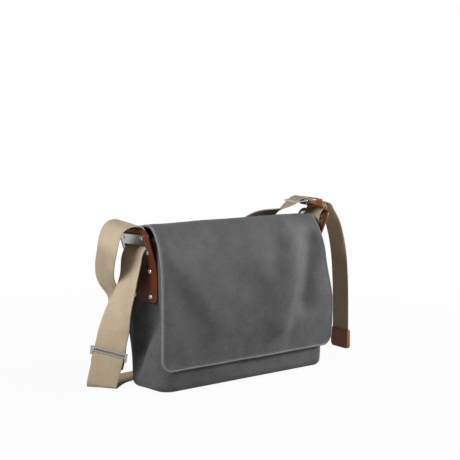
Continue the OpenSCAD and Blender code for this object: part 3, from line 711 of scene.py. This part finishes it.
strapLoop, long = ribbon("strapLoop", loopStops)
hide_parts("left_loop_strap")
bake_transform(strapLoop)
strapDrop, long = ribbon("strapDrop", dropStops)
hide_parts("shoulder_strap")
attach(strapDrop, "bag")
strapRise, long = ribbon("strapRise", riseStops)
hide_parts("shoulder_strap")
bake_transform(strapRise)
strapCross, long = ribbon("strapCross", crossStops)
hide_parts("shoulder_strap")
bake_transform(strapCross)
strapAnchor, long = ribbon("strapAnchor", anchorStops)
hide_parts("right_anchor_strap")
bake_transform(strapAnchor)
strapTail, long = ribbon("strapTail", tailStops)
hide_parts("strap_tail")
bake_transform(strapTail)
print("straps laid")

panels = {"left": {"sign": -1, "low": 146, "bend": 206, "lean": 19},
          "right": {"sign": 1, "low": 158, "bend": 218, "lean": 27}}
hide = {
    "half": 36, "up": 62, "thick": 3.0, "round": 18, "corners": (9, 11), "bevel": 0.0007,
    "slot": (26.5, 37.0), "slotColumns": range(4, 12), "slotRows": 3,
    "fromLow": (0, 0.4, 1.2, 2.6, 5, 9, 15, 22, 30, 38), "fromTop": (11, 6, 3, 1.4, 0.4, 0),
    "between": [-18, -14, -10, -5, 0, 5, 10, 14, 18, 22, 26.5, 30, 33.5, 37, 42, 46],
    "across": [36, 34.5, 32, 29, 25.7, 20, 14, 7, 0, -7, -14, -20, -25.7, -29, -32, -34.5, -36],
}


def sidePlace(sign, x, y, z):
    out = baseHalf + x * math.cos(tilt) + z * math.sin(tilt)
    return (sign * out, y, -x * math.sin(tilt) + z * math.cos(tilt))


def panelSpot(panel, s):
    lean, turn = math.radians(panel["lean"]), hide["round"]
    mid = hide["thick"] / 2
    if s < -turn:
        return mid, panel["bend"] + s
    bend = Vector((mid, panel["bend"] - mid * math.tan(lean / 2)))
    low, high = bend - Vector((0, turn)), bend + turn * Vector((math.sin(lean), math.cos(lean)))
    if s <= turn:
        t = (s + turn) / (2 * turn)
        spot = low * (1 - t) ** 2 + bend * 2 * t * (1 - t) + high * t * t
    else:
        spot = bend + s * Vector((math.sin(lean), math.cos(lean)))
    return spot.x, spot.y


plateBevel = 0.0005
for side, panel in panels.items():
    sign = panel["sign"]
    low = panel["low"] - panel["bend"]
    stations = [low + d for d in hide["fromLow"]] + hide["between"] + [hide["up"] - d for d in hide["fromTop"]]
    rows = []
    for s in stations:
        lower, upper = hide["corners"]
        edge = 0.0
        if s - low < lower:
            edge = lower - math.sqrt(max(lower ** 2 - (lower - s + low) ** 2, 0))
        if hide["up"] - s < upper:
            edge = upper - math.sqrt(max(upper ** 2 - (upper - hide["up"] + s) ** 2, 0))
        shrink = (hide["half"] - edge) / hide["half"]
        x, z = panelSpot(panel, s)
        inSlot = hide["slot"][0] - 0.1 <= s <= hide["slot"][1] + 0.1
        rows.append([sidePlace(sign, x, sign * -y * (1 if inSlot else shrink), z) for y in hide["across"]])
    first = next(j for j, s in enumerate(stations) if s == hide["slot"][0])
    slotColumns, slotRows = hide["slotColumns"], range(first, first + hide["slotRows"])
    leatherPanel = cloth(side + "Leather", rows, skip=lambda i, j: i in slotColumns and j in slotRows)
    applied(leatherPanel, "SOLIDIFY", thickness=hide["thick"] * mm, offset=0.0, use_even_offset=True,
            material_offset_rim=1)
    applied(leatherPanel, "BEVEL", width=hide["bevel"], segments=2, limit_method="ANGLE",
            angle_limit=math.radians(50))
    finish(smooth(leatherPanel, 45), "leather", leather, leatherEdge)
    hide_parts(side + "_side_panel")
    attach(leatherPanel, "bag")
    for node in (side + "_bracket", side + "_bracket_backplate"):
        plate = finish(dressed(node, plateBevel), "steel", steel)
        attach(plate, "bag")
    for node in (side + "_bracket_rivets", side + "_panel_rivets"):
        nodes[node].data.materials.clear()
        nodes[node].data.materials.append(steel)
print("leather panels and brackets")

fittings = {
    "left_slider": ("left_slider", "steel", shadedSliderSteel, 0.0005),
    "right_slider": ("strap_end", "steel", shadedSliderSteel, 0.0005),
    "left_strap_patch": ("left_slider", "leather_trim", trimLeather, 0.0005),
    "right_keeper": ("keeper", "leather_trim", trimLeather, 0.0007),
    "tail_tip": ("tail", "leather_dark", tipLeather, 0.0008),
}
facing = 0.7
for node, (rider, slotName, look, bevel) in fittings.items():
    fitting = finish(dressed(node, bevel, 3), slotName, look)
    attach(fitting, rider)
    if node == "tail_tip":
        fitting.data.materials.append(leatherEdge)
        for face in fitting.data.polygons:
            if abs(face.normal.dot(Vector(tailWay))) > facing or face.normal.z < -facing:
                face.material_index = 1  # cut edge
insides = {
    "base_board": ("board", lining, 0.0008), "inner_pocket": ("lining", lining, 0.0010),
    "laptop_divider": ("lining", lining, 0.0022), "mouth_tape": ("tape", edgeTape, 0.0006),
}
for node, (slotName, look, bevel) in insides.items():
    inside = finish(dressed(node, bevel, 3), slotName, look)
    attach(inside, "bag")
for node in ("snap_bases", "snap_caps"):
    nodes[node].data.materials.clear()
    nodes[node].data.materials.append(snapMetal)
print("fittings and insides")

shown = {"place": (-1.57267, -1.69133, 0.47577), "lens": 107.65,
         "right": (0.73101, -0.68237, 0), "up": (0.06697, 0.07174, 0.99517), "back": (-0.67907, -0.72748, 0.09814)}
lens = bpy.data.cameras.new("photoCamera")
lens.lens = shown["lens"]
lens.sensor_width = 36
lens.clip_end = 50
camera = bpy.data.objects.new("photoCamera", lens)
bpy.context.scene.collection.objects.link(camera)
turned = Matrix((shown["right"], shown["up"], shown["back"])).transposed().to_4x4()
turned.translation = Vector(shown["place"])
camera.matrix_world = turned
bpy.context.scene.camera = camera


stage = {"floor": 12, "under": -0.0006, "white": 0.95, "fade": (0.4, 1.3), "ambient": 0.06}
mirrorRays = ("Is Glossy Ray", "Is Transmission Ray")


def paleLook(name):
    look = Look(name, Roughness=1.0, Specular_IOR_Level=0.0)
    rays = look.node("LightPath", {}, {}, "Is Camera Ray")
    seen = sum((Wire(look, rays.socket.node.outputs[ray]) for ray in mirrorRays), rays)
    glow = look.node("Emission", {}, {"Color": (1, 1, 1, 1), "Strength": 1.0})
    grain = look.clouds(6.0).between(0.3, 0.7)
    look.feed(Base_Color=look.mix(grain, (0.49, 0.49, 0.49, 1), (0.51, 0.51, 0.51, 1)))
    away = look.node("VectorMath", {"operation": "LENGTH"}, {0: look.place()}, "Value").between(*stage["fade"])
    share = seen * (away * (1 - stage["white"]) + stage["white"])  # all white far off, shadows near the bag
    mixed = look.node("MixShader", {}, {0: share, 1: Wire(look, look.shader.outputs[0]), 2: glow})
    look.tree.links.new(mixed.socket, look.tree.nodes["Material Output"].inputs["Surface"])
    return look.material


bpy.ops.object.select_all(action="DESELECT")
bpy.ops.mesh.primitive_plane_add(size=stage["floor"], location=(0, 0, stage["under"]))
floor = bpy.context.active_object
floor.name = "floor"
bpy.ops.object.transform_apply(location=True, rotation=False, scale=True)
floor.data.materials.append(paleLook("paleFloor"))

world = bpy.data.worlds.new("studio")
bpy.context.scene.world = world
world.use_nodes = True
tree = world.node_tree
base = tree.nodes["Background"]
base.inputs["Color"].default_value = (1, 1, 1, 1)
base.inputs["Strength"].default_value = stage["ambient"]
white = tree.nodes.new("ShaderNodeBackground")
white.inputs["Color"].default_value = (1, 1, 1, 1)
white.inputs["Strength"].default_value = 1.0
path = tree.nodes.new("ShaderNodeLightPath")
mixer = tree.nodes.new("ShaderNodeMixShader")
seen = path.outputs["Is Camera Ray"]
for ray in mirrorRays:
    either = tree.nodes.new("ShaderNodeMath")
    either.operation = "MAXIMUM"
    tree.links.new(seen, either.inputs[0])
    tree.links.new(path.outputs[ray], either.inputs[1])
    seen = either.outputs[0]
tree.links.new(seen, mixer.inputs[0])
tree.links.new(base.outputs[0], mixer.inputs[1])
tree.links.new(white.outputs[0], mixer.inputs[2])
tree.links.new(mixer.outputs[0], tree.nodes["World Output"].inputs["Surface"])


def softbox(name, place, aim, size, power):
    light = bpy.data.lights.new(name, "AREA")
    light.shape = "RECTANGLE"
    light.size, light.size_y = size
    light.energy = power
    obj = bpy.data.objects.new(name, light)
    bpy.context.scene.collection.objects.link(obj)
    obj.location = place
    obj.rotation_euler = (Vector(aim) - Vector(place)).to_track_quat("-Z", "Y").to_euler()


softbox("rightLight", (1.58, -0.76, 0.62), (0.0, 0, 0.12), (0.3, 0.4), 40)
softbox("leftLight", (-2.0, -0.35, 1.25), (-0.1, 0, 0.15), (0.8, 0.8), 47)
bpy.context.scene.view_settings.view_transform = "Standard"
print("camera and light")
